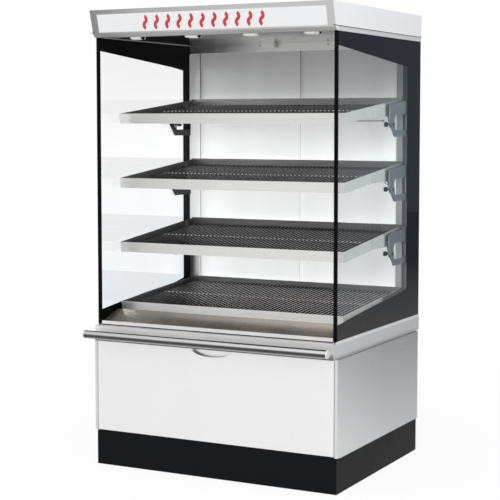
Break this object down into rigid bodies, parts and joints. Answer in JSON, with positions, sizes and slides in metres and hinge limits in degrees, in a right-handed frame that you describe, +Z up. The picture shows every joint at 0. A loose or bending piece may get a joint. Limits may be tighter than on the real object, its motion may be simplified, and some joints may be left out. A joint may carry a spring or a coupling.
{
  "type": "heated display case",
  "caption": "Tall open-front heated food display case with tilting shelves between side glasses, a lit canopy, a front rail and a steel base with a service flap.",
  "frame": {"origin": "on the floor, at the middle of the case's box, rail included", "axes": "+X to the right of someone facing the open front, +Y to the back, +Z up"},
  "size_m": [1, 0.896, 1.703],
  "materials": {
    "black_plinth": "satin powder coat",
    "zinc": "zinc plated",
    "galvanised": "galvanised sheet",
    "brushed_steel": "fine brushed stainless",
    "chrome": "polished",
    "cap_plastic": "smooth",
    "glass": "clear, with a printed black border on the side sheets",
    "frosted_glass": "frosted white",
    "grey_aluminium": "satin anodised",
    "black_plastic": "fine grain",
    "opal_panel": "opal white",
    "lamp_body": "extruded",
    "dark_ceiling": "dark gloss",
    "warm_plate": "brushed, slightly heat tinted",
    "insulation": "board with a sheet skin",
    "heater_sheath": "dull sheath",
    "switch_green": "translucent rocker"
  },
  "bodies": {
    "cabinet": {"plinth": "black_plinth", "levelling_feet": "zinc", "floor_pan": "galvanised", "side_panels": "brushed_steel", "rear_panel": "brushed_steel", "flap_hinge_pins": "zinc", "flap_catches": "black_plastic", "counter_frame": "brushed_steel", "rail_tube": "chrome", "rail_end_caps": "cap_plastic", "rail_studs": "chrome", "side_glasses": "glass", "glass_channels": "grey_aluminium", "glass_edge_trims": "black_plastic", "canopy_shell": "brushed_steel", "sign_panel": "opal_panel", "sign_light_box": "lamp_body", "ceiling_panel": "dark_ceiling", "downlight_rings": "chrome", "downlight_lenses": "opal_panel", "air_probe": "black_plastic", "rear_uprights": "brushed_steel", "door_header": "brushed_steel", "door_sill": "grey_aluminium", "sensor_tube": "brushed_steel", "shelf_brackets": "brushed_steel", "shelf_pivot_bolts": "zinc", "bottom_tray_pan": "brushed_steel", "bottom_tray_plate": "warm_plate", "bottom_tray_rack": "chrome", "tray_supports": "brushed_steel", "front_lip": "brushed_steel", "front_deck": "warm_plate", "plenum_floor": "insulation", "blower_motor": "lamp_body", "heating_elements": "heater_sheath", "control_plate": "black_plastic", "electrics_box": "black_plastic", "cable_gland": "black_plastic"},
    "front_flap": {"front_flap": "brushed_steel"},
    "rear_door_left": {"rear_door_left": "frosted_glass"},
    "rear_door_right": {"rear_door_right": "frosted_glass"},
    "blower_wheel": {"blower_wheel": "galvanised"},
    "thermostat_dial": {"thermostat_dial": "black_plastic"},
    "power_switch": {"power_switch": "switch_green"},
    "shelf_1": {"shelf_1_pan": "brushed_steel", "shelf_1_plate": "warm_plate", "shelf_1_rack": "chrome"},
    "shelf_1_knob_right": {"shelf_1_knob_right": "black_plastic"},
    "shelf_1_knob_left": {"shelf_1_knob_left": "black_plastic"},
    "shelf_2": {"shelf_2_pan": "brushed_steel", "shelf_2_plate": "warm_plate", "shelf_2_rack": "chrome"},
    "shelf_2_knob_right": {"shelf_2_knob_right": "black_plastic"},
    "shelf_2_knob_left": {"shelf_2_knob_left": "black_plastic"},
    "shelf_3": {"shelf_3_pan": "brushed_steel", "shelf_3_plate": "warm_plate", "shelf_3_rack": "chrome"},
    "shelf_3_knob_right": {"shelf_3_knob_right": "black_plastic"},
    "shelf_3_knob_left": {"shelf_3_knob_left": "black_plastic"}
  },
  "joints": [
    {"name": "flap_hinge", "type": "hinge", "parent": "cabinet", "child": "front_flap", "pos_m": [0, -0.351, 0.144], "axis": [1, 0, 0], "range_deg": [0, 80]},
    {"name": "door_left_slide", "type": "slide", "parent": "cabinet", "child": "rear_door_left", "axis": [1, 0, 0], "range_m": [0, 0.411]},
    {"name": "door_right_slide", "type": "slide", "parent": "cabinet", "child": "rear_door_right", "axis": [-1, 0, 0], "range_m": [0, 0.411]},
    {"name": "blower_spin", "type": "hinge", "parent": "cabinet", "child": "blower_wheel", "pos_m": [0, 0.009, 0.49], "axis": [0, 0, 1], "continuous": true},
    {"name": "thermostat_turn", "type": "hinge", "parent": "cabinet", "child": "thermostat_dial", "pos_m": [0.24, 0.415, 0.39], "axis": [0, 1, 0], "range_deg": [0, 270]},
    {"name": "power_switch_rock", "type": "hinge", "parent": "cabinet", "child": "power_switch", "pos_m": [0.35, 0.42, 0.39], "axis": [1, 0, 0], "range_deg": [0, 16]},
    {"name": "shelf_1_tilt", "type": "hinge", "parent": "cabinet", "child": "shelf_1", "pos_m": [0, 0.259, 1.35692], "axis": [1, 0, 0], "range_deg": [-6, 6]},
    {"name": "shelf_1_knob_right_turn", "type": "hinge", "parent": "shelf_1", "child": "shelf_1_knob_right", "pos_m": [0.4465, 0.184, 1.28392], "axis": [1, 0, 0], "continuous": true},
    {"name": "shelf_1_knob_left_turn", "type": "hinge", "parent": "shelf_1", "child": "shelf_1_knob_left", "pos_m": [-0.4465, 0.184, 1.28392], "axis": [1, 0, 0], "continuous": true},
    {"name": "shelf_2_tilt", "type": "hinge", "parent": "cabinet", "child": "shelf_2", "pos_m": [0, 0.259, 1.11342], "axis": [1, 0, 0], "range_deg": [-6, 6]},
    {"name": "shelf_2_knob_right_turn", "type": "hinge", "parent": "shelf_2", "child": "shelf_2_knob_right", "pos_m": [0.4465, 0.184, 1.04042], "axis": [1, 0, 0], "continuous": true},
    {"name": "shelf_2_knob_left_turn", "type": "hinge", "parent": "shelf_2", "child": "shelf_2_knob_left", "pos_m": [-0.4465, 0.184, 1.04042], "axis": [1, 0, 0], "continuous": true},
    {"name": "shelf_3_tilt", "type": "hinge", "parent": "cabinet", "child": "shelf_3", "pos_m": [0, 0.259, 0.86992], "axis": [1, 0, 0], "range_deg": [-6, 6]},
    {"name": "shelf_3_knob_right_turn", "type": "hinge", "parent": "shelf_3", "child": "shelf_3_knob_right", "pos_m": [0.4465, 0.184, 0.79692], "axis": [1, 0, 0], "continuous": true},
    {"name": "shelf_3_knob_left_turn", "type": "hinge", "parent": "shelf_3", "child": "shelf_3_knob_left", "pos_m": [-0.4465, 0.184, 0.79692], "axis": [1, 0, 0], "continuous": true}
  ]
}
